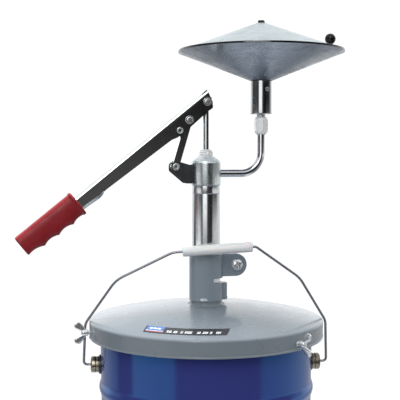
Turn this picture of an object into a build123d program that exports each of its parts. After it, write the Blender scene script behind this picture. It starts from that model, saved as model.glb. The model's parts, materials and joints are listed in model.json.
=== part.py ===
from build123d import *
import os
from math import atan2, cos, degrees, hypot, radians, sin

# Hand-operated grease filler pump clamped in the lid of a steel pail, with a bearing packer.
# Millimetres, +Z up. The origin is the centre of the pail's base, where it stands.
# +X points to the outlet pipe and the packer, and the lever's handle lies towards -X.

# ---------------------------------------------------------------- driving dimensions

running_gap = 0.05  # radial clearance of every shaft in its hole
part_gap = 0.3  # space left between faces that move past each other

# Pail
base_radius = 138.2
top_radius = 142.0
pail_sheet = 0.8
seam_height = 6.0
curl_radius = 2.1
curl_height = 348.2
hoop_heights = (110.0, 267.0)
hoop_half = 11.0
hoop_bulge = 2.7

# Bail and its ears
ear_height = 295.0
ear_angle = -10.0
ear_flange_radius = 13.0
ear_flange_face = 143.9
ear_cap_radius = 11.0
ear_cap_end = 154.9
bail_lean = 10.7
bail_wire_radius = 1.7
bail_grip_radius = 6.75
bail_route = ((149.0, 0), (164.5, 0), (161.0, 58.5), (123.5, 119.5), (63.5, 162.9))
bail_route_left = ((-46.0, 155.7), (-120.5, 118.3), (-161.5, 58.5), (-164.5, 0), (-149.0, 0))
bail_bends = (4.5, 16, 40, 7, 30, 40, 16, 4.5)
bail_grip_half, bail_grip_middle = 46.3, 13.0  # half its length, and how far it sits off the axis

# Lid
lid_radius = 156.6
lid_sheet = 1.2
skirt_bottom = 334.0
dome_apex = 376.5
dome_radius = 630.0
shoulder_radius = 3.5
neck_radius = 21.5
neck_top = 381.0
screw_height = 343.4
screw_angles = (180.0, 302.0, 61.0)
label_inner = (123.8, -140.4, -90.7)  # radius, and the bearing of each end
label_outer = (142.6, -137.0, -94.3)

# Clamp sleeve
tube_radius = 19.0
sleeve_radius = 22.5
sleeve_top = 443.0
slot_low, slot_high = 405.0, 411.0
slot_half_angle = 77.0
clamp_ear_x, clamp_ear_z, clamp_ear_radius = 40.0, 427.5, 15.2
clamp_ear_inner, clamp_ear_outer = 2.0, 6.5
clamp_screw_x = 41.5
clamp_foot_reach, clamp_foot_top = 27.6, 404.0  # the block below the slot, and how high it stands
weld_bearings = (-112.0, 50.0, 130.0)
weld_lumps = ((-7.0, 2.2), (-1.0, 3.0), (6.0, 2.4))  # the bearing and the radius of each lump in a weld

# Pump
tube_bottom = 10.0
tube_top = 524.0
tube_bore = 17.5
collar_top = 535.4
head_radius = 19.9
head_top = 565.0
head_cone_radius, head_cone_z = 18.4, 568.0
dome_top = 575.2
rod_radius = 4.0
piston_low = 96.0
rod_tail = 12.0  # how far the rod reaches below the piston, for its nut
gland_flats = 16.5
gland_top = 582.4

# Linkage, as (X, Z) of each pivot at rest
rod_pivot = (0.0, 646.5)
lever_pivot = (-24.6, 622.0)
stop_point = (-37.6, 608.0)
link_pivot = (-43.0, 560.0)
lever_slope = 38.8
lever_half_width = 9.0
lever_sheet = 2.0
web_top = 12.9
lever_low = -9.2
flange_end = -4.9  # where the straight part of each flange stops, near the hand grip
lip_start, lip_end, lip_low = 182.0, 222.0, -8.5
tang_low, tang_end = -3.8, 296.0  # the narrow end of the channel, inside the hand grip
link_half_width = 6.7
link_sheet = 2.0
pin_radius = 3.0
pin_head_radius = 5.7
stop_radius = 3.6
grip_start, grip_end, grip_top = 221.0, 308.4, 20.2
finger_ridges = ((239.0, -13.9), (261.7, -12.8), (284.4, -11.8))
finger_depth = 3.0

# Outlet and bearing packer
outlet_x = 77.0
outlet_z = 551.0
pipe_radius = 5.25
pipe_bore = 3.6
pipe_bend = 28.0
pipe_end = 622.0
pipe_nut_flats = 17.4
nut_bottom, nut_top = 604.6, 627.0
nipple_radius, nipple_top = 6.0, 639.0
socket_radius = 14.75
socket_bottom, socket_top = 631.0, 676.0
grub_bearing, grub_z = -74.0, 664.0
cone_rim_radius, cone_rim_z = 112.5, 714.0
cone_sheet = 1.2
spigot_radius = 9.0
rim_bead = 1.4
spindle_radius = 5.0
hat_base_radius, hat_base_z = 109.3, 715.6
hat_top_radius, hat_top_z = 6.8, 753.3
hub_bottom = 738.0
knob_distance, knob_z, knob_radius = 99.7, 735.5, 7.5

# Follower plate
follower_z = 300.0
follower_radius = 134.0
follower_lip_radius = 137.6

# ---------------------------------------------------------------- helpers


def turned(points, bends=0):
    """Revolve a closed outline of (radius, height) points about the pump's axis."""
    outline = FilletPolyline(*points, radius=bends, close=True) if bends else Polyline(*points, close=True)
    return revolve(Plane.XZ * make_face(outline), Axis.Z)


def ring(outer, inner, low, high):
    """A flat ring, or a disc where the inner radius is nothing, standing on +Z."""
    shape = Pos(0, 0, low) * Cylinder(outer, high - low, align=(Align.CENTER, Align.CENTER, Align.MIN))
    if inner:
        shape -= Pos(0, 0, low - 1) * Cylinder(
            inner, high - low + 2, align=(Align.CENTER, Align.CENTER, Align.MIN)
        )
    return shape


def bar_x(radius, low, high, height=0.0):
    """A round bar along +X from low to high."""
    return Pos((low + high) / 2, 0, height) * Rot(0, 90, 0) * Cylinder(radius, high - low)


def bar_y(radius, low, high, x, z):
    """A round bar along Y from low to high, at a place in the XZ plane."""
    return Pos(x, (low + high) / 2, z) * Rot(90, 0, 0) * Cylinder(radius, high - low)


def hexagon(flats, low, high):
    """An upright hexagonal prism, measured across its flats."""
    return Pos(0, 0, low) * extrude(RegularPolygon(flats / 2, 6, major_radius=False), high - low)


def pail_radius(height):
    """The outer radius of the pail's tapered wall at a height."""
    return base_radius + (top_radius - base_radius) * height / curl_height


def side_plate(outline, inner, outer):
    """A pair of flat plates, one each side of the XZ plane, from an outline drawn in it."""
    slab = extrude(Plane.XZ * outline, outer, both=True)
    return slab - extrude(Plane.XZ * outline, inner, both=True)


def on_lever(a, b):
    """The (X, Z) of a point a along the lever from the rod pivot, and b above it."""
    slope = radians(lever_slope)
    return rod_pivot[0] - a * cos(slope) - b * sin(slope), rod_pivot[1] - a * sin(slope) + b * cos(slope)


def around(shape, angles):
    """Copies of a shape turned about the pump's axis."""
    return Compound([Rot(0, 0, angle) * shape for angle in angles])


# ---------------------------------------------------------------- pail


def pail_wall_line(shift):
    """The wall's line from its foot to its rim, moved inwards by a shift, with both hoops."""
    edges = []
    start = (pail_radius(seam_height / 2) - shift, seam_height / 2)
    for hoop in hoop_heights:
        low, high = hoop - hoop_half, hoop + hoop_half
        foot = (pail_radius(low) - shift, low)
        crown = (pail_radius(hoop) + hoop_bulge - shift, hoop)
        head = (pail_radius(high) - shift, high)
        edges += [Line(start, foot), ThreePointArc(foot, crown, head)]
        start = head
    edges.append(Line(start, (top_radius - shift, curl_height)))
    return edges


def make_pail_shell():
    outer, inner = pail_wall_line(0), pail_wall_line(pail_sheet)
    foot = Line(outer[0] @ 0, inner[0] @ 0)
    rim = Line(outer[-1] @ 1, inner[-1] @ 1)
    wall = revolve(Plane.XZ * make_face([*outer, *inner, foot, rim]), Axis.Z)
    curl = Pos(0, 0, curl_height) * Torus(top_radius + curl_radius - pail_sheet, curl_radius)
    return wall + curl


def make_pail_base(shell):
    floor_plate = ring(base_radius + 1.6, 0, 0, seam_height)
    return floor_plate - ring(base_radius - 1.6, 0, pail_sheet, seam_height + 1) - shell


def make_ear_flanges():
    disc = bar_x(ear_flange_radius, 130, ear_flange_face, ear_height)
    body = revolve(
        Plane.XZ
        * make_face(
            Polyline((0, 0), (pail_radius(0), 0), (top_radius, curl_height), (0, curl_height), close=True)
        ),
        Axis.Z,
    )
    return around(disc - body, (ear_angle, ear_angle + 180))


def make_ear_caps():
    cup = bar_x(ear_cap_radius, ear_flange_face, ear_cap_end, ear_height)
    cup = fillet(cup.edges().sort_by(Axis.X)[-1], 2.2)
    cup -= bar_x(ear_cap_radius - 1.4, ear_flange_face, ear_cap_end - 1.6, ear_height)
    cup -= bar_x(bail_wire_radius + 0.1, ear_flange_face, ear_cap_end + 1, ear_height)
    return around(cup, (ear_angle, ear_angle + 180))


def bail_plane():
    """The plane that the bail lies in: its X runs from ear to ear, and its Y up the bail."""
    across = Vector(cos(radians(ear_angle)), sin(radians(ear_angle)), 0)
    forward = Vector(sin(radians(ear_angle)), -cos(radians(ear_angle)), 0)
    upward = Vector(0, 0, 1) * cos(radians(bail_lean)) + forward * sin(radians(bail_lean))
    return Plane(origin=(0, 0, ear_height), x_dir=across, z_dir=across.cross(upward))


def make_bail_wire():
    route = bail_plane() * FilletPolyline(*bail_route, *bail_route_left, radius=bail_bends)
    section = Plane(origin=route @ 0, z_dir=route % 0) * Circle(bail_wire_radius)
    wire = sweep(section, path=route)
    head = bar_x(bail_wire_radius + 1.5, 147, 149.5, ear_height)
    for angle in (ear_angle, ear_angle + 180):
        wire += Rot(0, 0, angle) * head
    return wire


def make_bail_grip():
    right, left = bail_route[-1], bail_route_left[0]
    length = hypot(right[0] - left[0], right[1] - left[1])
    run = ((right[0] - left[0]) / length, (right[1] - left[1]) / length)
    centre = (bail_grip_middle, left[1] + (bail_grip_middle - left[0]) * run[1] / run[0])
    plane = bail_plane()
    axis = plane.x_dir * run[0] + plane.y_dir * run[1]
    place = Plane(origin=plane.from_local_coords(Vector(centre[0], centre[1], 0)), z_dir=axis)
    tube = Cylinder(bail_grip_radius, 2 * bail_grip_half)
    tube = fillet(tube.edges().filter_by(GeomType.CIRCLE), 1.2)
    return place * (tube - Cylinder(bail_wire_radius + 0.08, 2 * bail_grip_half + 2))


# ---------------------------------------------------------------- lid


def dome_solid(shift):
    """Everything under the dome of the lid, with its sheet's surface moved in by a shift."""
    radius, side = dome_radius - shift, lid_radius - shift
    centre = dome_apex - dome_radius
    edge = atan2(side, (radius**2 - side**2) ** 0.5)
    arc_end = (side, centre + radius * cos(edge))
    arc_mid = (radius * sin(edge / 2), centre + radius * cos(edge / 2))
    top = ThreePointArc((0, centre + radius), arc_mid, arc_end)
    rest = Polyline(arc_end, (side, skirt_bottom), (0, skirt_bottom), (0, centre + radius))
    solid = revolve(Plane.XZ * make_face([top, *rest.edges()]), Axis.Z)
    corner = [e for e in solid.edges().filter_by(GeomType.CIRCLE) if e.center().Z > curl_height]
    return fillet(corner, shoulder_radius - shift)


def make_lid_cover():
    cover = dome_solid(0) - dome_solid(lid_sheet)
    cover += Pos(0, 0, skirt_bottom + 1.5) * Torus(lid_radius - 0.9, 1.5)
    cover += ring(neck_radius, 0, dome_apex - 3, neck_top)
    cover -= ring(tube_radius + 0.4, 0, dome_apex - 20, neck_top + 1)
    for angle in screw_angles:
        cover -= Rot(0, 0, angle) * bar_x(3.5, lid_radius - 5, lid_radius + 5, screw_height)
    return cover


def make_lid_gasket():
    low = curl_height + curl_radius
    return ring(148.5, 139.5, low, low + 12) & dome_solid(lid_sheet)


def make_weld_nuts():
    """The nuts inside the skirt that the wing screws run in, shaped to the lid's inner face."""
    nut = Pos(0, 0, screw_height) * Rot(0, 90, 0) * hexagon(10, 150.6, lid_radius)
    nut -= bar_x(3 + running_gap, 140, 160, screw_height)
    return around(nut & dome_solid(lid_sheet + 0.02), screw_angles)


def make_wing_screw(angle):
    """One wing screw: nib, dog point, shank, hub and two wings that open outwards."""
    screw = bar_x(1.2, 143.7, 145.5, 0) + bar_x(2.2, 145.3, 148, 0) + bar_x(3, 148, 160.5, 0)
    hub = bar_x(4.6, 160, 168.5, 0)
    hub = fillet(hub.edges().sort_by(Axis.X)[-1], 2)
    wing = Plane.XZ * make_face(
        FilletPolyline((161, -2), (161, 4.2), (171.5, 15.2), (180.0, 14.2), (180.0, 9.0), (170.5, 0.5),
                       radius=(0.8, 1.2, 2.6, 2.6, 3.0, 0.8), close=True)
    )
    wings = extrude(wing, 1.5, both=True)
    screw += hub + wings + mirror(wings, Plane.XY)
    return Rot(0, 0, angle) * Pos(0, 0, screw_height) * screw


def make_tip_pad(angle):
    pad = bar_x(2.3, 142.45, 145.0, screw_height) - bar_x(1.25, 143.4, 146, screw_height)
    return Rot(0, 0, angle) * pad


def make_label():
    """A thin curved strip of film on the front of the dome, concentric with the lid."""
    skin = Pos(0, 0, dome_apex - dome_radius) * (Sphere(dome_radius + 0.35) - Sphere(dome_radius + 0.02))
    arcs = []
    for radius, start, end in (label_inner, label_outer):
        bearings = [radians(angle) for angle in (start, (start + end) / 2, end)]
        arcs.append(ThreePointArc(*[(radius * cos(angle), radius * sin(angle)) for angle in bearings]))
    ends = [Line(arcs[0] @ place, arcs[1] @ place) for place in (0, 1)]
    return skin & (Pos(0, 0, curl_height) * extrude(make_face([*arcs, *ends]), dome_apex - curl_height))


# ---------------------------------------------------------------- clamp


def make_clamp_sleeve():
    sleeve = ring(sleeve_radius, 0, neck_top, sleeve_top)
    ear = Plane.XZ * (
        Pos(clamp_ear_x, clamp_ear_z) * Circle(clamp_ear_radius)
        + Pos(clamp_ear_x / 2, clamp_ear_z) * Rectangle(clamp_ear_x, 2 * clamp_ear_radius)
    )
    sleeve += extrude(ear, clamp_ear_outer, both=True)
    foot_height = clamp_foot_top - neck_top
    foot = Plane.XZ * (
        Pos(clamp_foot_reach / 2, neck_top + foot_height / 2) * Rectangle(clamp_foot_reach, foot_height)
    )
    sleeve += extrude(foot, clamp_ear_outer, both=True)
    reach = 60
    split_height = sleeve_top - slot_high + 2
    sleeve -= Pos(reach / 2, 0, slot_high + split_height / 2) * Box(reach, 2 * clamp_ear_inner, split_height)
    side = (reach * cos(radians(slot_half_angle)), reach * sin(radians(slot_half_angle)))
    wedge = make_face(
        Polyline((0, 0), (side[0], -side[1]), (reach, -reach), (reach, reach), side, close=True)
    )
    sleeve -= Pos(0, 0, slot_low) * extrude(wedge, slot_high - slot_low)
    sleeve -= ring(tube_radius + running_gap, 0, neck_top - 1, sleeve_top + 1)
    return sleeve - bar_y(4.0, -10, 10, clamp_screw_x, clamp_ear_z)


def make_clamp_screw():
    outer = clamp_ear_outer
    screw = bar_y(4.0, -outer, outer + 9, clamp_screw_x, clamp_ear_z)
    head = bar_y(8.2, -outer - 5, -outer, clamp_screw_x, clamp_ear_z)
    head = fillet(head.edges().sort_by(Axis.Y)[0], 2.8)
    cross = Box(8.5, 2.6, 1.8) + Box(1.8, 2.6, 8.5)
    return screw + head - Pos(clamp_screw_x, -outer - 5, clamp_ear_z) * cross


def make_clamp_nut():
    outer = clamp_ear_outer
    nut = Pos(clamp_screw_x, outer, clamp_ear_z) * Rot(-90, 0, 0) * hexagon(13, 0, 6.5)
    return nut - bar_y(4.0, outer - 1, outer + 20, clamp_screw_x, clamp_ear_z)


def make_sleeve_welds():
    """Short lumpy beads of weld at the sleeve's foot, and a small one at the end of its block."""
    height = neck_top + 2.2
    core = ring(sleeve_radius, 0, height - 10, height + 10) + ring(neck_radius, 0, height - 20, neck_top)
    beads = []
    for bearing in weld_bearings:
        lumps = [
            Rot(0, 0, bearing + offset) * Pos(sleeve_radius, 0, height) * Sphere(radius)
            for offset, radius in weld_lumps
        ]
        beads.append(lumps[0] + lumps[1] + lumps[2] - core)
    block = Pos(clamp_foot_reach / 2, 0, height) * Box(clamp_foot_reach, 2 * clamp_ear_outer, 20)
    beads.append(Pos(clamp_foot_reach, -3, height + 1) * Sphere(2.0) - block)
    return Compound([solid for bead in beads for solid in bead.solids()])


# ---------------------------------------------------------------- pump


def make_outer_tube():
    return ring(tube_radius, tube_bore, tube_bottom, tube_top)


def make_tube_collar():
    return turned(
        ((tube_bore, tube_top), (tube_radius - 0.4, tube_top), (tube_radius, tube_top + 0.6),
         (tube_radius, collar_top), (tube_bore, collar_top))
    )


def make_pump_head():
    head = turned(
        ((0, 512), (tube_bore, 512), (tube_bore, collar_top), (head_radius, collar_top),
         (head_radius, head_top), (head_cone_radius, head_cone_z), (8.6, dome_top), (0, dome_top))
    )
    corners = (head_top, head_cone_z)
    circles = head.edges().filter_by(GeomType.CIRCLE)
    head = fillet([e for e in circles if min(abs(e.center().Z - z) for z in corners) < 0.1], 1.6)
    head -= ring(12.5, 0, 500, 559)
    head -= ring(4.3, 0, 550, 563)
    head -= ring(7.0, 0, 562, dome_top + 1)
    return head - bar_x(pipe_radius, 10, 30, outlet_z)


def make_rod_seal():
    return ring(7.0, rod_radius + running_gap, 562, 571)


def make_gland_nut():
    nut = hexagon(gland_flats, dome_top, gland_top)
    crown_top = gland_top + 0.6
    crown = turned(((0, dome_top), (10.2, dome_top), (9.4, gland_top - 2.2), (6.6, crown_top), (0, crown_top)))
    spigot = ring(7.0, 0, 571, dome_top)
    nut = (nut + ring(6.6, 0, gland_top, crown_top)) & crown
    return nut + spigot - ring(rod_radius + running_gap, 0, 560, 600)


def make_lever_bracket():
    """Two plates that carry the link's pivot, and the lug that joins them to the head."""
    x, z = link_pivot
    outline = make_face(
        FilletPolyline((x - 6.4, 554.5), (-29.5, 537.8), (-17.0, 537.8), (-17.0, 562.6), (-24.5, 562.6),
                       (-37.5, 566.4), (x - 6.4, 566.4), radius=(4, 4, 0.6, 0.6, 5, 5, 5.6), close=True)
    )
    plates = side_plate(outline, link_half_width + part_gap, lever_half_width)
    lug = Pos(-23.4, 0, 550.2) * Box(13, 2 * (link_half_width + part_gap), 22)
    plates = plates + lug - ring(head_radius, 0, 500, 600)
    return plates - bar_y(4.0, -12, 12, x, z)


def make_bracket_rivet():
    x, z = link_pivot
    rivet = bar_y(4.0, -lever_half_width, lever_half_width, x, z)
    for side in (-1, 1):
        rivet += bar_y(4.9, *sorted((side * 9.0, side * 9.9)), x, z)
    return rivet - bar_y(2.2, -12, 12, x, z)


def make_outlet_pipe():
    bend = outlet_x
    path = FilletPolyline((15, 0, outlet_z), (bend, 0, outlet_z), (bend, 0, pipe_end), radius=pipe_bend)
    section = Plane(origin=path @ 0, z_dir=path % 0) * Circle(pipe_radius)
    bore = Plane(origin=path @ 0, z_dir=path % 0) * Circle(pipe_bore)
    return sweep(section, path=path) - sweep(bore, path=path)


def at_outlet(shape):
    """A shape drawn about the pump's axis, moved to the packer's axis."""
    return Pos(outlet_x, 0, 0) * shape


def make_pipe_nut():
    """A compression nut, barrel-shaped where its corners are turned off at both ends."""
    low, high = nut_bottom, nut_top
    barrel = turned(((0, low), (7.6, low), (9.6, low + 3.4), (9.6, high - 3.4), (7.6, high), (0, high)), 0.6)
    nut = hexagon(pipe_nut_flats, low, high) & barrel
    nut -= ring(pipe_radius, 0, low - 1, pipe_end) + ring(nipple_radius, 0, pipe_end, high + 1)
    return at_outlet(nut)


def make_pipe_ferrule():
    return at_outlet(ring(pipe_radius + 1.3, pipe_radius, nut_bottom - 1.6, nut_bottom))


def make_outlet_nipple():
    return at_outlet(ring(nipple_radius, pipe_bore, pipe_end, nipple_top))


def make_packer_socket():
    body = ring(socket_radius, 0, socket_bottom, socket_top)
    body = chamfer(body.edges().filter_by(GeomType.CIRCLE), 0.8)
    body -= ring(nipple_radius, 0, pipe_end - 2, nipple_top)
    body -= ring(spigot_radius, 0, nipple_top, socket_top + 1)
    return at_outlet(body - Rot(0, 0, grub_bearing) * bar_x(3, 8, 20, grub_z))


def make_grub_screw():
    end = socket_radius + 0.6
    screw = bar_x(3, spigot_radius, end, grub_z) - Pos(end, 0, grub_z) * Box(3, 7, 1.1)
    return at_outlet(Rot(0, 0, grub_bearing) * screw)


def make_lower_cone():
    """The packer's funnel: a thin cone with a rolled bead at its rim, on a spigot in the socket."""
    low_r, low_z = socket_radius, socket_top
    rise = (cone_rim_z - low_z) / (cone_rim_radius - low_r)
    sheet = cone_sheet * hypot(1, rise)
    cone = turned(
        ((6.0, low_z), (low_r, low_z), (cone_rim_radius, cone_rim_z), (cone_rim_radius, cone_rim_z + sheet),
         (low_r - 0.2, low_z + sheet + 0.8), (6.0, low_z + sheet + 0.8))
    )
    cone += ring(spigot_radius, 0, socket_bottom + 24, low_z + 1)
    cone -= ring(spindle_radius, 0, socket_bottom, low_z + 14)
    bead = Pos(0, 0, cone_rim_z + rim_bead - 0.2) * Torus(cone_rim_radius - rim_bead, rim_bead)
    return at_outlet(cone + bead)


def make_packer_spindle():
    spindle = ring(spindle_radius, 0, 650, 757.0)
    spindle = chamfer(spindle.edges().sort_by(Axis.Z)[-1], 0.9)
    return at_outlet(spindle - ring(2.0, 0, 640, 698) - bar_x(2.0, -8, 8, 696))


def hat_height(radius, sheet=0.0):
    """The height of the upper cone's surface, or of the underside of its sheet, at a radius."""
    rise = (hat_top_z - hat_base_z) / (hat_base_radius - hat_top_radius)
    return hat_top_z - rise * (radius - hat_top_radius) - sheet * hypot(1, rise)


def make_upper_cone():
    """The packer's thin clamping cone."""
    base, top = hat_base_radius, hat_top_radius
    cone = turned(
        ((base, hat_height(base, cone_sheet)), (base, hat_height(base)),
         (top, hat_top_z), (top, hat_height(top, cone_sheet)))
    )
    return at_outlet(cone - Pos(knob_distance, 0, 0) * ring(2.0, 0, 700, 740))


def make_cone_hub():
    """The threaded boss under the point of the upper cone."""
    outer, top = 9.0, hat_top_radius
    hub = turned(
        ((0, hub_bottom), (outer - 0.4, hub_bottom), (outer, hub_bottom + 1),
         (outer, hat_height(outer, cone_sheet)), (top, hat_height(top, cone_sheet)), (top, hat_top_z), (0, hat_top_z))
    )
    return at_outlet(hub - ring(spindle_radius + running_gap, 0, 700, 760))


def make_thrust_washer():
    return at_outlet(ring(10.0, spindle_radius + running_gap, hub_bottom - 2.4, hub_bottom - part_gap))


def make_knob_stem():
    foot = hat_height(knob_distance)
    stem = ring(2.0, 0, foot - 4.5, knob_z - 2) + ring(3.1, 0, foot + 1.4, knob_z - 5.5)
    return at_outlet(Pos(knob_distance, 0, 0) * stem)


def make_knob():
    ball = Pos(0, 0, knob_z) * Sphere(knob_radius)
    ball -= ring(3.1, 0, 700, knob_z - 5.5) + ring(2.0, 0, 700, knob_z - 2)
    return at_outlet(Pos(knob_distance, 0, 0) * ball)


# ---------------------------------------------------------------- pump's inside


def make_foot_valve_body():
    body = ring(tube_radius, 0, 4, tube_bottom) + ring(tube_bore, 0, tube_bottom, 24)
    body -= ring(6.0, 0, 0, 30)
    return body - turned(((0, 14), (6.0, 14), (9.5, 18), (9.5, 26), (0, 26)))


def make_foot_ball():
    return Pos(0, 0, 19.75) * Sphere(8.0)


def make_ball_pin():
    return bar_x(1.5, -tube_bore, tube_bore, 33.5) & ring(tube_bore, 0, 30, 42)


def make_pump_rod():
    return ring(rod_radius, 0, piston_low - rod_tail, rod_pivot[1] - 12)


def make_rod_end():
    """An eye at the top of the rod, open towards the lever's tip, that holds the lever's pin."""
    x, z = rod_pivot
    block = Plane.XZ * (
        Pos(x + 0.5, z - 2.6) * RectangleRounded(15.0, 18.0, 3.0)
        - Pos(x, z) * Circle(4.4)
        - Pos(x + 10, z) * Rectangle(20, 8.8)
    )
    eye = extrude(block, 6.4, both=True) & bar_y(9.6, -10, 10, x, z - 2.2)
    return eye - ring(rod_radius, 0, 500, z - 12 + 4) + ring(rod_radius, 0, z - 12.0, z - 8)


def make_piston():
    piston = ring(tube_bore - running_gap, 0, piston_low, piston_low + 12) - ring(rod_radius, 0, 90, 130)
    port = Pos(11.0, 0, 0) * ring(2.6, 0, piston_low - 1, piston_low + 13)
    for angle in range(0, 360, 60):
        piston -= Rot(0, 0, angle) * port
    return piston


def make_piston_seal():
    low, outer = piston_low + 12, tube_bore - running_gap
    return turned(((15.2, low), (outer, low), (outer, low + 7), (16.4, low + 7), (15.2, low + 2.5)))


def make_piston_nut():
    return hexagon(13, piston_low - 6.5, piston_low) - ring(rod_radius, 0, 80, 100)


def make_valve_disc():
    low = piston_low + 12 + part_gap
    return ring(14.6, rod_radius + running_gap, low, low + 1.5)


def make_valve_stop():
    low = piston_low + 18
    return ring(6.5, rod_radius, low, low + 4)


# ---------------------------------------------------------------- linkage


def lever_frame(height):
    """A plane square to the lever: its X is the world's Y, and its Y points to the web."""
    slope = radians(lever_slope)
    x, z = on_lever(height, 0)
    return Plane(origin=(x, 0, z), x_dir=(0, -1, 0), z_dir=(-cos(slope), 0, -sin(slope)))


def channel_section(half_width, top, bottom, corner):
    return make_face(
        FilletPolyline((-half_width, bottom), (-half_width, top), (half_width, top), (half_width, bottom),
                       radius=(0, corner, corner, 0), close=True)
    )


def lever_outline():
    """The side view of the lever channel, from its tip to its end inside the hand grip."""
    points = ((-9.2, 14), (-3.6, -10.4), (26, -11.6), (62, -12.0), (72, lever_low), (lip_start, flange_end),
              (lip_end, flange_end), (lip_end, tang_low), (tang_end, tang_low), (tang_end, 14))
    return make_face(
        FilletPolyline(*[on_lever(*p) for p in points], radius=(0, 7.5, 40, 4, 4, 0, 0, 0, 0, 0), close=True)
    )


def make_lever_channel():
    start, length = lever_frame(-14), tang_end + 24
    outer = extrude(start * channel_section(lever_half_width, web_top, -20, 5.0), length)
    hollow = channel_section(lever_half_width - lever_sheet, web_top - lever_sheet, -22, 3.0)
    inner = extrude(start * hollow, length)
    channel = (outer - inner) & extrude(Plane.XZ * lever_outline(), 12, both=True)
    half, sheet = lever_half_width, lever_sheet
    lip = make_face(
        Polyline((half, -3), (half, flange_end), (half + lip_low - flange_end, lip_low),
                 (half + lip_low - flange_end - sheet, lip_low + 1.4), (half - sheet, flange_end + 0.9),
                 (half - sheet, -3), close=True)
    )
    for shape in (lip, mirror(lip, Plane.YZ)):
        channel += extrude(lever_frame(lip_start) * shape, lip_end - lip_start)
    x, z = rod_pivot
    channel -= bar_y(pin_radius, -12, 12, x, z)
    channel -= bar_y(pin_radius + running_gap, -12, 12, *lever_pivot)
    return channel - bar_y(stop_radius, -12, 12, *stop_point)


def headed_pin(place, hold, head_low):
    """A plain pin through the lever, with a flat head outside each of its sides."""
    pin = bar_y(pin_radius, -hold, hold, *place)
    for side in (-1, 1):
        low, high = sorted((side * head_low, side * (head_low + 1.6)))
        pin += bar_y(pin_head_radius, low, high, *place)
    return pin


def make_rod_pin():
    return headed_pin(rod_pivot, 10, lever_half_width)


def make_link_pin():
    return headed_pin(lever_pivot, 10, lever_half_width + part_gap)


def make_stop_rivet():
    rivet = bar_y(stop_radius, -lever_half_width, lever_half_width, *stop_point)
    for side in (-1, 1):
        rivet += bar_y(4.4, *sorted((side * 9.0, side * 9.9)), *stop_point)
    return rivet - bar_y(2.0, -12, 12, *stop_point)


def make_link():
    """A small channel between the bracket and the lever, with its web towards the handle."""
    (x0, z0), (x1, z1) = link_pivot, lever_pivot
    length = hypot(x1 - x0, z1 - z0)
    tilt = degrees(atan2(x1 - x0, z1 - z0))
    plate = Circle(5.5) + Pos(0, length) * Circle(5.5) + Pos(0, length / 2) * Rectangle(9, length)
    body = extrude(Plane.XZ * plate, link_half_width, both=True)
    hollow = Plane.XZ * (Pos(4.0 + link_sheet - 4.5, length / 2) * Rectangle(8, length + 40))
    inner = link_half_width - link_sheet
    body -= extrude(hollow, inner, both=True)
    for end in (0, length):
        body -= Pos(0, 0, end) * Box(16, 2 * inner, 13)
    body -= bar_y(4.0 + running_gap, -12, 12, 0, 0) + bar_y(pin_radius, -12, 12, 0, length)
    return Pos(x0, 0, z0) * Rot(0, tilt, 0) * body


def grip_bar(width, height, corner, start, end):
    """A bar along the hand grip, with a rounded section that is centred a little above the lever."""
    section = Rot(0, 0, 90) * (Pos(0, 4.1) * RectangleRounded(width, height, corner))
    return Rot(0, 90, 0) * Pos(0, 0, start) * extrude(section, end - start)


def make_hand_grip():
    """A moulded grip with a guard at its front, finger hollows below and a pocket for the lever."""
    place = (grip_end, -7.7)
    edges = [Line((grip_start, grip_top), (grip_end, grip_top)), Line((grip_end, grip_top), place)]
    for a, b in reversed(finger_ridges):
        valley = ((place[0] + a) / 2, (place[1] + b) / 2 + finger_depth)
        edges.append(ThreePointArc(place, valley, (a, b)))
        place = (a, b)
    edges.append(ThreePointArc(place, ((place[0] + grip_start) / 2, -10.2), (grip_start, -12.0)))
    edges.append(Line((grip_start, -12.0), (grip_start, grip_top)))
    body = extrude(Plane.XZ * make_face(edges), 16, both=True)
    body &= grip_bar(27.5, 33.4, 11, grip_start - 20, grip_end + 10)
    body += grip_bar(30, 34.2, 12, grip_start - 4, grip_start)
    for low_a, high_a, low_b in ((lip_end - 12, lip_end, lip_low), (lip_end, tang_end, tang_low)):
        pocket = Box(high_a - low_a, 2 * lever_half_width, web_top - low_b)
        body -= Pos((high_a + low_a) / 2, 0, (web_top + low_b) / 2) * pocket
    x, z = rod_pivot
    return Pos(x, 0, z) * Rot(0, -lever_slope, 0) * mirror(body, Plane.YZ)


# ---------------------------------------------------------------- follower plate


def make_follower_plate():
    bore = tube_radius + 0.45
    plate = ring(follower_radius, bore, follower_z, follower_z + 1.2)
    collar = ring(bore + 3, bore, follower_z, follower_z + 12)
    rim = ring(follower_radius, follower_radius - 1.2, follower_z, follower_z + 9)
    return plate + collar + rim


def make_follower_lip():
    return ring(follower_lip_radius, follower_radius, follower_z - 1, follower_z + 8)


# ---------------------------------------------------------------- all the parts


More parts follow.
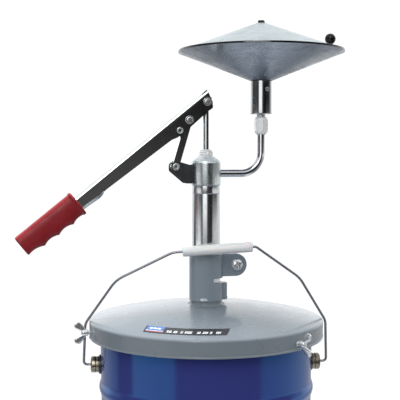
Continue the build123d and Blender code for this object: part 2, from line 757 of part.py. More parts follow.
def make_parts():
    shell = make_pail_shell()
    parts = {
        "pail_shell": shell,
        "pail_base": make_pail_base(shell),
        "ear_flanges": make_ear_flanges(),
        "ear_caps": make_ear_caps(),
        "bail_wire": make_bail_wire(),
        "bail_grip": make_bail_grip(),
        "lid_cover": make_lid_cover(),
        "lid_gasket": make_lid_gasket(),
        "lid_weld_nuts": make_weld_nuts(),
        "lid_label": make_label(),
        "clamp_sleeve": make_clamp_sleeve(),
        "clamp_screw": make_clamp_screw(),
        "clamp_nut": make_clamp_nut(),
        "sleeve_welds": make_sleeve_welds(),
        "outer_tube": make_outer_tube(),
        "tube_collar": make_tube_collar(),
        "pump_head": make_pump_head(),
        "rod_seal": make_rod_seal(),
        "gland_nut": make_gland_nut(),
        "lever_bracket": make_lever_bracket(),
        "bracket_rivet": make_bracket_rivet(),
        "outlet_pipe": make_outlet_pipe(),
        "pipe_ferrule": make_pipe_ferrule(),
        "pipe_nut": make_pipe_nut(),
        "outlet_nipple": make_outlet_nipple(),
        "packer_socket": make_packer_socket(),
        "socket_grub_screw": make_grub_screw(),
        "lower_cone": make_lower_cone(),
        "packer_spindle": make_packer_spindle(),
        "upper_cone": make_upper_cone(),
        "cone_hub": make_cone_hub(),
        "thrust_washer": make_thrust_washer(),
        "knob_stem": make_knob_stem(),
        "knob": make_knob(),
        "foot_valve_body": make_foot_valve_body(),
        "foot_ball": make_foot_ball(),
        "ball_pin": make_ball_pin(),
        "pump_rod": make_pump_rod(),
        "rod_end": make_rod_end(),
        "piston": make_piston(),
        "piston_seal": make_piston_seal(),
        "piston_nut": make_piston_nut(),
        "valve_disc": make_valve_disc(),
        "valve_stop": make_valve_stop(),
        "lever_channel": make_lever_channel(),
        "rod_pin": make_rod_pin(),
        "link_pin": make_link_pin(),
        "stop_rivet": make_stop_rivet(),
        "link": make_link(),
        "hand_grip": make_hand_grip(),
        "follower_plate": make_follower_plate(),
        "follower_lip": make_follower_lip(),
    }
    for number, angle in enumerate(screw_angles, start=1):
        parts[f"wing_screw_{number}"] = make_wing_screw(angle)
        parts[f"tip_pad_{number}"] = make_tip_pad(angle)
    return parts


os.makedirs("parts", exist_ok=True)
for node, shape in make_parts().items():
    export_step(shape, f"parts/{node}.step")
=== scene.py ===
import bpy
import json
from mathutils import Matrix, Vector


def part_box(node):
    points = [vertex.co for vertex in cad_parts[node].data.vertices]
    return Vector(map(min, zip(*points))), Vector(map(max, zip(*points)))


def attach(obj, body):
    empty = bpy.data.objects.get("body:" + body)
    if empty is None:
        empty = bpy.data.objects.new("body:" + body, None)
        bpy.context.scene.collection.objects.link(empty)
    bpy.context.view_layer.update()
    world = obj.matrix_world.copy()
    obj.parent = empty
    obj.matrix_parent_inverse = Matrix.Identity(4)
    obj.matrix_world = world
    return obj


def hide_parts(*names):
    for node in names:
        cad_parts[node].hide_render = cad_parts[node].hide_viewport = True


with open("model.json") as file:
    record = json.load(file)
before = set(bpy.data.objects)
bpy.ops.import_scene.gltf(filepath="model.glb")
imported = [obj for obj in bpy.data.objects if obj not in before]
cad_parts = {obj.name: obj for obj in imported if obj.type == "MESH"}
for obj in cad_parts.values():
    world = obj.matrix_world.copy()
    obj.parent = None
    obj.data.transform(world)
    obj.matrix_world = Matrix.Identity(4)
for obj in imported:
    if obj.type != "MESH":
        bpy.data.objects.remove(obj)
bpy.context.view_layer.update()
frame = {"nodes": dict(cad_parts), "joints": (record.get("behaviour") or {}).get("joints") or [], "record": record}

import json
from math import atan2, cos, hypot, pi, radians, sin, sqrt, tan

import bmesh
import bpy
import numpy as np
from mathutils import Matrix, Vector, noise

MM = 0.001  # every length below is in millimetres until mesh() turns it into metres

# ---- what the frame says

joints = {joint["name"]: joint for joint in frame["joints"]}


def joint_place(name):
    """Where a hinge turns, in millimetres."""
    return Vector(joints[name]["pos_m"]) / MM


def node_box(name):
    """A CAD node's lowest and highest corners, in millimetres."""
    low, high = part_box(name)
    return low / MM, high / MM


def span(name):
    """Half a node's width along X, and its lowest and highest height."""
    low, high = node_box(name)
    return (high.x - low.x) / 2, low.z, high.z


def node_centre(name):
    low, high = node_box(name)
    return (low + high) / 2


def bearing_of(name):
    """The level angle that a joint's axis points at."""
    return atan2(joints[name]["axis"][1], joints[name]["axis"][0])


ear_axis, ear_angle = Vector(joints["bail_swing"]["axis"]), bearing_of("bail_swing")
ear_height = joint_place("bail_swing").z
outlet_x = joint_place("packer_cone_turn").x
OUTLET = (outlet_x, 0)
rod_pivot = node_centre("rod_pin")
lever_pivot = joint_place("lever_swing")
link_pivot = joint_place("link_swing")
stop_place = node_centre("stop_rivet")
screw_angles = [bearing_of(f"wing_screw_turn_{n}") for n in (1, 2, 3)]
screw_height = joint_place("wing_screw_turn_1").z

# ---- sizes that the frame doesn't give

FOOT_RADIUS, RIM_RADIUS, CURL_RADIUS, PAIL_SHEET = 138.2, 142.0, 2.1, 0.8
HOOP_HEIGHTS, HOOP_HALF, HOOP_BULGE = (110.0, 267.0), 11.0, 2.7
WIRE_RADIUS, BAIL_LEAN = 1.7, radians(10.7)
DOME_APEX, DOME_RADIUS, LID_SHEET = 376.5, 630.0, 1.2
LABEL_INNER = (123.8, -140.4, -90.7)  # radius, and the bearing of each end
LABEL_OUTER = (142.6, -137.0, -94.3)
TUBE_BORE, HEAD_FOOT, HEAD_SPIGOT, DOME_FOOT = 17.5, 535.4, 512.0, 567.0
PIPE_RADIUS, PIPE_BORE, PIPE_END, NIPPLE_TOP = 5.25, 3.6, 622.0, 639.0
SOCKET_RADIUS, SOCKET_TOP, CONE_SHEET = 14.75, 676.0, 1.2
SPINDLE_THREAD = 12.0  # how far the spindle's thread reaches down from its end
LEVER_SLOPE, LEVER_HALF, LEVER_SHEET, LEVER_TOP = radians(38.8), 9.0, 2.0, 12.9
GRIP_START, GRIP_END = 217.0, 308.4  # along the lever from the rod pivot

# ---- mesh helpers


def new_piece(name, points, faces, *paints):
    """An object from points in millimetres."""
    data = bpy.data.meshes.new(name)
    data.from_pydata([Vector(p) * MM for p in points], [], faces)
    for paint in paints:
        data.materials.append(materials[paint].material)
    piece = bpy.data.objects.new(name, data)
    bpy.context.scene.collection.objects.link(piece)
    return piece


def weld(data, dissolve=True):
    """Joins points at one place and turns every face outwards."""
    work = bmesh.new()
    work.from_mesh(data)
    bmesh.ops.remove_doubles(work, verts=work.verts, dist=1e-6)
    if dissolve:
        bmesh.ops.dissolve_degenerate(work, edges=work.edges, dist=1e-7)
    bmesh.ops.recalc_face_normals(work, faces=work.faces)
    work.to_mesh(data)
    work.free()


def belongs(piece, body, replaces):
    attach(piece, body)
    if replaces:
        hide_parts(*replaces)


def mesh(name, shape, body, paint, *replaces, sharp=35, slot=None):
    """A piece from (points, faces), smooth but for edges sharper than an angle."""
    piece = new_piece(name, *shape, paint)
    weld(piece.data)
    piece.data.shade_smooth()
    piece.data.set_sharp_from_angle(angle=radians(sharp))
    belongs(piece, body, replaces)
    return piece


def grid_faces(rows, columns, wrap_rows=False, wrap_columns=True):
    """Quads of a grid of points stored row by row."""
    faces = []
    for i in range(rows if wrap_rows else rows - 1):
        for j in range(columns if wrap_columns else columns - 1):
            a, b = i * columns, (i + 1) % rows * columns
            k = (j + 1) % columns
            faces.append((a + j, b + j, b + k, a + k))
    return faces


def caps(rows, columns):
    """The two end faces of a grid whose columns wrap."""
    return [tuple(range(columns)), tuple((rows - 1) * columns + k for k in range(columns))]


def spaced(*spans):
    """Evenly spaced numbers over each (first, last, count) in turn."""
    return [value for span in spans for value in np.linspace(*span)]


def arc(centre, radius, start, step, count):
    """Points of an arc, from angles in degrees."""
    return [(centre[0] + radius * cos(a), centre[1] + radius * sin(a))
            for a in (radians(start + step * k) for k in range(count))]


def dense(line, step):
    """A line's points, with more of them along its longer stretches."""
    result = []
    for p, q in zip(line, line[1:]):
        count = max(1, int((q - p).length / step))
        result += [p.lerp(q, k / count) for k in range(count)]
    return result + [line[-1]]


def circle(count):
    """Angles spaced evenly round a turn."""
    return [2 * pi * k / count for k in range(count)]


def facing(angle):
    """A level unit vector at an angle."""
    return Vector((cos(angle), sin(angle), 0))


def squared(value, power):
    """A sine or cosine bent towards a square's side."""
    return abs(value) ** power * (1 if value > 0 else -1)


def rounded(points, radii, steps=5, closed=True):
    """An outline's or a route's points with its corners turned into arcs."""
    result = []
    count = len(points)
    for i, radius in enumerate(radii):
        here = Vector(points[i])
        if radius <= 0 or (not closed and i in (0, count - 1)):
            result.append(here)
            continue
        before, after = Vector(points[i - 1]) - here, Vector(points[(i + 1) % count]) - here
        angle = before.angle(after)
        cut = min(radius / tan(angle / 2), 0.49 * before.length, 0.49 * after.length)
        radius = cut * tan(angle / 2)
        start, end = here + before.normalized() * cut, here + after.normalized() * cut
        middle = here + (before.normalized() + after.normalized()).normalized() * hypot(cut, radius)
        u, v = start - middle, end - middle
        turn = u.angle(v)
        for s in range(steps + 1):
            t = s / steps
            if turn > 1e-6:
                result.append(middle + (u * sin((1 - t) * turn) + v * sin(t * turn)) / sin(turn))
    return result


def axis_matrix(place, direction):
    """A frame whose Z points along a direction, at a place."""
    z = Vector(direction).normalized()
    side = Vector((0, 0, 1)) if abs(z.z) < 0.9 else Vector((1, 0, 0))
    x = side.cross(z).normalized()
    y = z.cross(x)
    return Matrix.Translation(place) @ Matrix((x, y, z)).transposed().to_4x4()


UPRIGHT, AT_OUTLET = Matrix.Identity(4), Matrix.Translation((outlet_x, 0, 0))


def turned(outline, place=UPRIGHT, segments=128):
    """Points and faces of an outline of (radius, height) turned about a frame's Z.

    An outline that starts on the axis ends there too. Any other is a ring, and its ends are joined.
    """
    points = []
    for a in circle(segments):
        points += [place @ Vector((r * cos(a), r * sin(a), z)) for r, z in outline]
    ring = outline[0][0] > 0.001
    return points, grid_faces(segments, len(outline), wrap_rows=True, wrap_columns=ring)


def lathed(corners, radii, place=UPRIGHT, segments=64):
    """An outline of (radius, height) corners, rounded and turned."""
    return turned(rounded(corners, radii), place, segments)


def together(*shapes):
    """Several (points, faces) shapes as one."""
    points, faces = [], []
    for some, more in shapes:
        faces += [tuple(k + len(points) for k in face) for face in more]
        points += some
    return points, faces


def tube(route, radius, bore=0.0, segments=32):
    """A round bar or pipe along a list of 3D points."""
    count = len(route)
    rings, side = [], Vector((0, 1, 0))
    for i, p in enumerate(route):
        along = (route[min(i + 1, count - 1)] - route[max(i - 1, 0)]).normalized()
        side = (side - along * side.dot(along)).normalized()
        rings.append((p, side, along.cross(side)))

    def wall(reach):
        return [p + (u * cos(a) + v * sin(a)) * reach for p, u, v in rings for a in circle(segments)]

    points, faces = wall(radius), grid_faces(count, segments)
    if not bore:
        return points, faces + caps(count, segments)
    base = len(points)
    faces += [tuple(base + k for k in reversed(face)) for face in faces]
    for row in (0, count - 1):
        for k in range(segments):
            a, b = row * segments + k, row * segments + (k + 1) % segments
            faces.append((a, b, b + base, a + base))
    return points + wall(bore), faces


def thread(radius, pitch, depth, low, high, place=UPRIGHT, segments=40):
    """A helical screw thread from low to high along a frame's Z, which fades out at both ends."""
    rows_per_turn, fade = 8, 0.6
    rows = int((high - low) / pitch * rows_per_turn) + 1
    points = []
    for i in range(rows + 1):
        z = low + (high - low) * i / rows
        ends = min(1.0, (z - low) / pitch, (high - z) / pitch)
        for k in range(segments):
            phase = (z / pitch - k / segments) % 1.0
            groove = 0.5 - 0.5 * cos(2 * pi * phase)
            r = radius - depth * groove - (1 - ends) * depth * fade
            a = 2 * pi * k / segments
            points.append(place @ Vector((r * cos(a), r * sin(a), z)))
    faces = grid_faces(rows + 1, segments)
    return points, faces + caps(rows + 1, segments)


def hex_nut(flats, barrel, place=UPRIGHT, bore=0.0):
    """A hexagonal nut turned down to a barrel's outline of (radius, height) from its foot to its top."""
    segments = 120
    outline, points = dense(barrel, 0.4), []
    for a in circle(segments):
        reach = flats / 2 / cos((a + pi / 6) % (pi / 3) - pi / 6)
        row = [(bore, outline[0][1])] + [(min(r, reach), z) for r, z in outline] + [(bore, outline[-1][1])]
        points += [place @ Vector((r * cos(a), r * sin(a), z)) for r, z in row]
    return points, grid_faces(segments, len(outline) + 2, wrap_rows=True)


# ---- material helpers


def srgb(red, green, blue):
    """A linear colour from the 0 to 255 values a person reads."""
    parts = [c / 255 for c in (red, green, blue)]
    return [((c + 0.055) / 1.055) ** 2.4 if c > 0.04 else c / 12.92 for c in parts] + [1.0]


class Nodes:
    """A node tree, and short ways to add to it."""

    def __init__(self, tree):
        self.tree = tree

    def feed(self, value, socket):
        """Links an output to a socket, or sets the socket to a number or a colour."""
        if isinstance(value, bpy.types.NodeSocket):
            self.tree.links.new(value, socket)
        else:
            socket.default_value = value

    def add(self, kind, inputs=(), output=0, **settings):
        """Adds a node, feeds its inputs, in order or by name, and gives one of its outputs."""
        node = self.tree.nodes.new("ShaderNode" + kind)
        for key, value in settings.items():
            setattr(node, key, value)
        named = inputs if isinstance(inputs, dict) else dict(enumerate(inputs))
        for socket, value in named.items():
            self.feed(value, node.inputs[socket])
        return node.outputs[output]

    def maths(self, operation, a, b=0.0, clamp=False):
        return self.add("Math", (a, b), operation=operation, use_clamp=clamp)

    def parts(self, vector):
        return self.add("SeparateXYZ", (vector,)).node.outputs

    def blend(self, share, first, second):
        """Mixes two colours."""
        return self.add("Mix", {0: share, 6: first, 7: second}, 2, data_type="RGBA")

    def mix_shaders(self, share, first, second):
        return self.add("MixShader", (share, first, second))


class Paint(Nodes):
    """One procedural material: a Principled shader, and the nodes that vary it."""

    def __init__(self, name, colour, roughness, metallic=0.0, **sockets):
        self.material = bpy.data.materials.new(name)
        self.material.use_nodes = True
        super().__init__(self.material.node_tree)
        self.shader = self.tree.nodes["Principled BSDF"]
        self.colour, self.roughness = srgb(*colour), roughness
        sockets.update(Base_Color=self.colour, Roughness=roughness, Metallic=metallic)
        for socket, value in sockets.items():
            self.shader.inputs[socket.replace("_", " ")].default_value = value
        self.place = self.add("TexCoord", output="Object")

    def stretched(self, scale):
        """Object coordinates in metres, scaled along each axis."""
        scale = scale if hasattr(scale, "__len__") else (scale,) * 3
        return self.add("Mapping", {"Vector": self.place, "Scale": scale})

    def around(self, centre, scale=(1.0, 1.0, 1.0)):
        """(distance from a vertical axis, angle, height), for grain left by a lathe."""
        centre = (centre[0] * MM, centre[1] * MM, 0)
        x, y, z = self.parts(self.add("VectorMath", (self.place, centre), operation="SUBTRACT"))
        squares = self.maths("ADD", self.maths("MULTIPLY", x, x), self.maths("MULTIPLY", y, y))
        polar = (self.maths("SQRT", squares), self.maths("ARCTAN2", y, x), z)
        return self.add("CombineXYZ", [self.maths("MULTIPLY", *pair) for pair in zip(polar, scale)])

    def noise(self, vector, detail=3.0, rough=0.55):
        return self.add("TexNoise", {"Vector": vector, "Scale": 1.0, "Detail": detail, "Roughness": rough,
                                     "Distortion": 0.0}, "Fac")

    def spread(self, value, low, high, new_low=0, new_high=1):
        return self.add("MapRange", (value, low, high, new_low, new_high))

    def now(self, socket, start):
        """What a socket of the shader has so far."""
        return socket.links[0].from_socket if socket.is_linked else start

    def tint(self, value, other, strength):
        """Mixes another colour into the base colour where a value is high."""
        socket = self.shader.inputs["Base Color"]
        share = self.maths("MULTIPLY", value, strength, clamp=True)
        self.feed(self.blend(share, self.now(socket, self.colour), other), socket)

    def vary_roughness(self, value, change):
        """Adds up to a change, either way, to the roughness."""
        socket = self.shader.inputs["Roughness"]
        offset = self.spread(value, 0.3, 0.7, -change, change)
        self.feed(self.maths("ADD", offset, self.now(socket, self.roughness), clamp=True), socket)

    def bump(self, height, distance):
        """Adds relief: distance is its depth in millimetres."""
        normal = self.add("Bump", {"Strength": 1.0, "Distance": distance * MM, "Height": height})
        self.feed(normal, self.shader.inputs["Normal"])


def enamel(name, colour, shade, roughness, peel, coat=0.3, **extra):
    """Sprayed enamel: a faint orange peel, soft cloudiness and an uneven gloss."""
    paint = Paint(name, colour, roughness, Coat_Weight=coat, Coat_Roughness=0.09, **extra)
    paint.tint(paint.spread(paint.noise(paint.stretched(9.0), 4), 0.35, 0.7), srgb(*shade), 0.5)
    paint.vary_roughness(paint.noise(paint.stretched(60.0), 4), 0.04)
    paint.bump(paint.noise(paint.stretched(330.0), 2), peel)
    return paint


def bright_metal(name, colour, roughness, centre=(0, 0), grain=0.004, stain=None, metallic=1.0, streaks=None):
    """Plated or polished metal with the fine rings that turning and polishing leave."""
    paint = Paint(name, colour, roughness, metallic)
    rings = paint.noise(paint.around(centre, (2500.0, 1.5, 2500.0)), 3)
    cloud = paint.noise(paint.stretched(45.0), 4, 0.6)
    paint.vary_roughness(cloud, roughness * 0.45)
    paint.bump(rings, grain)
    darker = [c * 0.72 for c in paint.colour[:3]] + [1]
    paint.tint(paint.spread(cloud, 0.45, 0.75), srgb(*stain) if stain else darker, 0.5)
    if streaks:
        wide = paint.noise(paint.around(centre, (420.0, 0.9, 420.0)), 5, 0.7)
        paint.tint(paint.spread(wide, 0.38, 0.66), srgb(*streaks), 0.5)
        paint.vary_roughness(wide, roughness * 0.25)
    paint.vary_roughness(paint.noise(paint.stretched((700.0, 700.0, 35.0)), 2), roughness * 0.3)
    return paint


def moulded(name, colour, shade, roughness, grain, size=420.0, **extra):
    """Moulded plastic: a fine leathery skin and slightly uneven colour."""
    paint = Paint(name, colour, roughness, **extra)
    paint.tint(paint.spread(paint.noise(paint.stretched(30.0), 3), 0.4, 0.7), srgb(*shade), 0.6)
    paint.bump(paint.noise(paint.stretched(size), 2, 0.5), grain)
    paint.vary_roughness(paint.noise(paint.stretched(90.0), 3), 0.07)
    return paint


# ---- materials

materials = {
    "pail_paint": enamel("blue_enamel", (57, 61, 128), (54, 60, 122), 0.12, 0.004, coat=0.1,
                         IOR=1.8, Specular_IOR_Level=1.0, Specular_Tint=(0.0, 0.42, 0.92, 1)),
    "lid_paint": enamel("grey_enamel", (120, 128, 136), (113, 121, 129), 0.3, 0.001, coat=0.42,
                        Specular_IOR_Level=0.3),
    # painted light: sleeve_paint is the lid's grey enamel made lighter, standing in for the light that falls on
    # the sleeve
    "sleeve_paint": enamel("grey_enamel_sleeve_painted_light", (132, 143, 153), (123, 133, 143), 0.32, 0.01),
    "black_paint": enamel("black_enamel", (26, 26, 28), (40, 40, 42), 0.35, 0.03),
    "bright_steel": bright_metal("polished_steel", (214, 217, 220), 0.14, grain=0.002),
    "lever_steel": bright_metal("bright_plate", (246, 249, 245), 0.09, grain=0.001),
    "zinc_steel": bright_metal("zinc_plate", (226, 229, 231), 0.3, stain=(206, 210, 206), metallic=0.75),
    "dark_steel": bright_metal("dark_oxide", (58, 60, 62), 0.4, stain=(48, 48, 48), metallic=0.3),
    "cap_steel": bright_metal("yellow_zinc", (150, 142, 128), 0.3, stain=(118, 104, 88)),
    "wire_steel": bright_metal("drawn_wire", (150, 152, 158), 0.34, grain=0.0005, metallic=0.8),
    "brass": bright_metal("brass", (196, 166, 98), 0.25),
    "dark_chrome": bright_metal("ground_chrome", (204, 205, 208), 0.13, OUTLET, 0.002),
    "cone_steel": bright_metal("spun_steel", (168, 176, 187), 0.28, OUTLET, 0.012,
                               streaks=(134, 144, 159)),
    "hat_steel": bright_metal("spun_aluminium", (197, 204, 207), 0.36, OUTLET, 0.008, metallic=0.9),
    "grip_red": moulded("red_pvc", (137, 29, 36), (116, 20, 28), 0.42, 0.02, 650.0,
                           Specular_IOR_Level=0.35),
    "grip_white": moulded("white_polyethylene", (236, 237, 236), (227, 229, 228), 0.32, 0.02,
                             Subsurface_Weight=0.25, Subsurface_Scale=0.004),
    "knob_plastic": moulded("black_phenolic", (8, 8, 9), (13, 13, 14), 0.1, 0.002,
                               Specular_IOR_Level=0.3),
    "black_rubber": moulded("black_rubber", (28, 28, 29), (40, 39, 38), 0.62, 0.05),
    "label_film": moulded("label_black", (30, 30, 34), (42, 42, 47), 0.3, 0.004),
    "weld_paint": enamel("painted_weld", (206, 213, 219), (176, 184, 192), 0.2, 0.05, coat=0.6),
    "label_blue": moulded("label_blue", (70, 110, 180), (60, 98, 168), 0.3, 0.004),
    "label_white": moulded("label_white", (225, 226, 230), (210, 212, 216), 0.3, 0.004),
    "label_red": moulded("label_red", (150, 60, 76), (138, 50, 66), 0.3, 0.004),
    "head_steel": bright_metal("turned_head", (214, 220, 222), 0.24, grain=0.006),
    # painted highlight: dome_steel is a lighter, less metallic copy of head_steel, so that the head's dome reads
    # as lit
    "dome_steel": bright_metal("turned_dome_painted_highlight", (232, 237, 240), 0.36, grain=0.004, metallic=0.4),
    "screw_steel": bright_metal("screw_plate", (236, 238, 240), 0.16, grain=0.001, metallic=0.7),
    # painted reflection: rim_steel is a darker copy of the cone's steel, standing in for the dark surroundings
    # that the rolled rim reflects
    "rim_steel": bright_metal("rolled_rim_painted_dark_reflection", (104, 106, 110), 0.1, OUTLET, 0.001),
    "pipe_steel": bright_metal("pipe_plate", (224, 224, 228), 0.07, OUTLET, 0.0006),
    "white_zinc": bright_metal("white_zinc", (250, 251, 252), 0.3, OUTLET, 0.001, (240, 242, 243), 0.35),
    "pin_steel": bright_metal("pin_plate", (228, 230, 232), 0.2, metallic=0.85),
}
for node, piece in frame["nodes"].items():
    slot = [s["material_slot"] for s in frame["record"]["subparts"] if s["node"] == node][0]
    piece.data.materials.clear()
    piece.data.materials.append(materials[slot].material)


# ---- pail and its bail


def wall_profile(low, high, top):
    """The pail's outer line from low to high, with a smooth swage at each hoop."""
    line, z = [], low
    while z < high + 0.01:
        radius = FOOT_RADIUS + (RIM_RADIUS - FOOT_RADIUS) * z / top
        for hoop in HOOP_HEIGHTS:
            share = abs(z - hoop) / HOOP_HALF
            if share < 1:
                radius += HOOP_BULGE * (0.5 + 0.5 * cos(pi * share)) ** 0.8
        line.append((radius, z))
        z += 1.0 if any(abs(z - hoop) < HOOP_HALF + 3 for hoop in HOOP_HEIGHTS) else 6.0
    return line


def make_pail():
    curl_z = node_box("pail_shell")[1].z - CURL_RADIUS
    wall = wall_profile(6.0, curl_z - 3.4, curl_z)
    centre = RIM_RADIUS + CURL_RADIUS - PAIL_SHEET
    curl = arc((centre, curl_z), CURL_RADIUS, -110, 17.5, 17)
    inner = [(r - PAIL_SHEET, z) for r, z in reversed(wall)]
    mesh("pail_wall", turned(wall + curl + inner, segments=192), "pail", "pail_paint", "pail_shell")
    seam = FOOT_RADIUS + 1.6
    mesh("pail_foot", lathed([(0, 0), (seam, 0), (seam, 6.0), (seam - 3.2, 6.0), (seam - 4.2, PAIL_SHEET),
         (0, PAIL_SHEET)], (0, 1.3, 1.4, 1.2, 0.8, 0), segments=192), "pail", "pail_paint", "pail_base")
    # the wall's own seam: a low ridge, 7 points across, up the back
    half_width, stretch, ridge, bearing = 1.4, 1.6, 0.45, radians(96)
    seam_line = wall_profile(8.0, curl_z - 6, curl_z)
    points = []
    for r, z in seam_line:
        for k in range(7):
            t = -1 + k / 3
            rise = ridge * (1 - t * t) ** 0.5 if abs(t) < 1 else 0.0
            a = bearing + half_width * t * stretch / r
            points.append(((r + rise - 0.05) * cos(a), (r + rise - 0.05) * sin(a), z))
    faces = grid_faces(len(seam_line), 7, wrap_columns=False)
    mesh("pail_weld_seam", (points, faces), "pail", "pail_paint")


def ear_frame(side):
    """A frame at a pail ear whose Z points outwards along the bail's hinge."""
    return axis_matrix((0, 0, ear_height), facing(ear_angle + (0 if side > 0 else pi)))


def make_ears():
    flange, face, end = 13.0, 143.9, 154.9
    discs, cups = [], []
    for side in (1, -1):
        place = ear_frame(side)
        disc = rounded([(0, face - 3.4), (flange, face - 3.4), (flange, face), (0, face)], (0, 0.2, 0.7, 0))
        discs.append(turned(disc, place, 64))
        cup = rounded([(9.6, face), (11.0, face), (11.0, face + 2.2), (10.55, face + 2.9),
                       (10.55, face + 3.9), (11.0, face + 4.6), (11.0, end), (6.4, end), (5.4, end - 0.7),
                       (1.8, end - 0.7), (1.8, end - 2.2), (9.6, end - 2.2)],
                      (0.1, 0.2, 0.3, 0.3, 0.3, 0.3, 2.4, 0.5, 0.5, 0.3, 0.1, 1.2))
        cups.append(turned(cup, place, 72))
    mesh("ear_discs", together(*discs), "pail", "black_paint", "ear_flanges")
    mesh("ear_cups", together(*cups), "pail", "cap_steel", "ear_caps")


def on_bail(across, up):
    """A point of the bail's plane, from its distance along the hinge and its height above it."""
    forward = Vector((sin(ear_angle), -cos(ear_angle), 0))
    rise = Vector((0, 0, 1)) * cos(BAIL_LEAN) + forward * sin(BAIL_LEAN)
    return ear_axis * across + rise * up + Vector((0, 0, ear_height))


def make_bail():
    corners = ((149.0, 0), (164.5, 0), (161.0, 58.5), (123.5, 119.5), (63.5, 162.9),
               (-46.0, 155.7), (-120.5, 118.3), (-161.5, 58.5), (-164.5, 0), (-149.0, 0))
    route = rounded([on_bail(*c) for c in corners], (0, 4.5, 20, 40, 7, 30, 40, 20, 4.5, 0), 10, False)
    bar = tube(route, WIRE_RADIUS, segments=20)
    heads, head_radius = [], WIRE_RADIUS + 1.5
    for side in (1, -1):
        head = rounded([(0, 147), (head_radius, 147), (head_radius, 149.4), (0, 149.4)], (0, 0.6, 0.6, 0))
        heads.append(turned(head, ear_frame(side), 32))
    mesh("bail_bar", together(bar, *heads), "bail", "wire_steel", "bail_wire")


def make_bail_grip():
    """A soft white tube with a flared end, a moulding line and a slit that it was pushed on by."""
    half, radius = 46.3, 6.75
    place = axis_matrix(joint_place("bail_grip_turn"), joints["bail_grip_turn"]["axis"])
    bore = WIRE_RADIUS + 0.1
    outline = rounded([(bore, -half), (radius - 0.3, -half), (radius, -half + 5), (radius - 0.15, 0),
                       (radius, half - 5), (radius - 0.3, half), (bore, half), (bore, half - 3),
                       (bore, -half + 3)], (0.4, 1.6, 2, 8, 2, 1.6, 0.4, 0, 0))
    points, faces = turned(dense(outline + outline[:1], 3)[:-1], place, 72)
    back, bent = place.inverted(), []
    for p in points:
        q = back @ p
        reach = hypot(q.x, q.y)
        if reach > 4:
            angle = atan2(q.y, q.x)
            groove = max(0.0, 1 - abs(abs(angle) - pi / 2) / 0.06) * 0.25
            wobble = 0.12 * noise.noise(Vector((q.z * 0.06, angle, 3.1)))
            q.x, q.y = (k * (1 - (groove + wobble) / reach) for k in (q.x, q.y))
        bent.append(place @ q)
    mesh("bail_handle_tube", (bent, faces), "bail_grip", "grip_white", "bail_grip")


# ---- lid and its screws


def dome_height(radius, drop=0.0):
    """The height of the lid's dome at a distance from its middle."""
    return DOME_APEX - DOME_RADIUS + sqrt((DOME_RADIUS - drop) ** 2 - radius**2)


def make_lid():
    half, low, high = span("lid_cover")
    bead, shoulder = 1.5, 3.5
    reach = half - 0.6
    outer = [(radius, dome_height(radius)) for radius in np.linspace(24.5, reach - 6.5, 60)]
    corner = rounded([outer[-1], (reach, dome_height(reach) - 0.1), (reach, low + 5)], (0, shoulder, 0), 10,
                     False)
    outer += [tuple(p) for p in corner[1:-1]]
    outer += arc((reach - 0.9, low + bead), bead, 62, -20, 16)
    neck = [(19.4, high), (20.8, high), (21.5, high - 0.7), (21.5, 377.6)]
    neck += [(21.5 + 3.0 * (1 - cos(a)), 377.6 - 2.9 * sin(a))
             for a in (radians(15 * k) for k in range(1, 6))]
    inner = [(reach - LID_SHEET, low + 3.2), (reach - LID_SHEET, dome_height(reach) - 7.0)]
    inner += [(radius, dome_height(radius, LID_SHEET)) for radius in np.linspace(reach - 6.5, 21.0, 40)]
    inner += [(19.4, 372.6)]
    mesh("lid_dome", turned(neck + outer + inner, segments=224), "pail", "lid_paint", "lid_cover")


def wing_screw_shapes(angle):
    """A wing screw in its own frame: Z points outwards along the screw, and X is up."""
    z_axis, x_axis = facing(angle), Vector((0, 0, 1))
    y_axis = z_axis.cross(x_axis)
    turn = Matrix((x_axis, y_axis, z_axis)).transposed().to_4x4()
    place = Matrix.Translation((0, 0, screw_height)) @ turn
    shank = thread(3.0, 1.0, 0.5, 148.0, 160.6, place)
    nib = lathed([(0, 143.8), (1.2, 143.8), (1.2, 145.3), (2.2, 145.3), (2.2, 148.2), (0, 148.2)],
        (0, 0.2, 0, 0.3, 0, 0), place, 24)
    hub = lathed([(0, 160.0), (4.2, 160.0), (4.6, 160.6), (4.4, 165.5), (3.4, 168.1), (0, 168.4)],
        (0, 0.5, 0.4, 1.0, 1.4, 0), place, 48)
    wings = []
    for side in (1, -1):
        spine = [Vector(p) for p in ((2.4, 162.6), (4.4, 165.5), (7.4, 169.6), (10.4, 173.4), (12.6, 176.6))]
        rows, ring = [], 20
        count = 22
        for i in range(count + 1):
            t = i / count
            k = min(int(t * (len(spine) - 1)), len(spine) - 2)
            f = t * (len(spine) - 1) - k
            p = spine[k].lerp(spine[k + 1], f)
            along = (spine[k + 1] - spine[k]).normalized()
            lobe = 2.5 + 2.4 * sin(min(1.0, t * 1.1) * pi * 0.62) ** 2
            end = sqrt(max(0.0, 1 - max(0.0, (t - 0.72) / 0.28) ** 2))
            wide = max(0.05, lobe * end)
            thick = max(0.04, (1.75 - 0.45 * t) * (0.4 + 0.6 * end))
            across = Vector((-along.y, along.x))
            for a in circle(ring):
                q = p + across * (squared(cos(a), 0.75) * wide)
                rows.append(place @ Vector((side * q.x, squared(sin(a), 0.75) * thick, q.y)))
        wings.append((rows, grid_faces(count + 1, ring) + caps(count + 1, ring)))
    return together(shank, nib, hub, *wings)


def make_wing_screws():
    for number, angle in enumerate(screw_angles, start=1):
        mesh(f"lid_wing_screw_{number}", wing_screw_shapes(angle), f"wing_screw_{number}",
             "pin_steel", f"wing_screw_{number}", sharp=50)


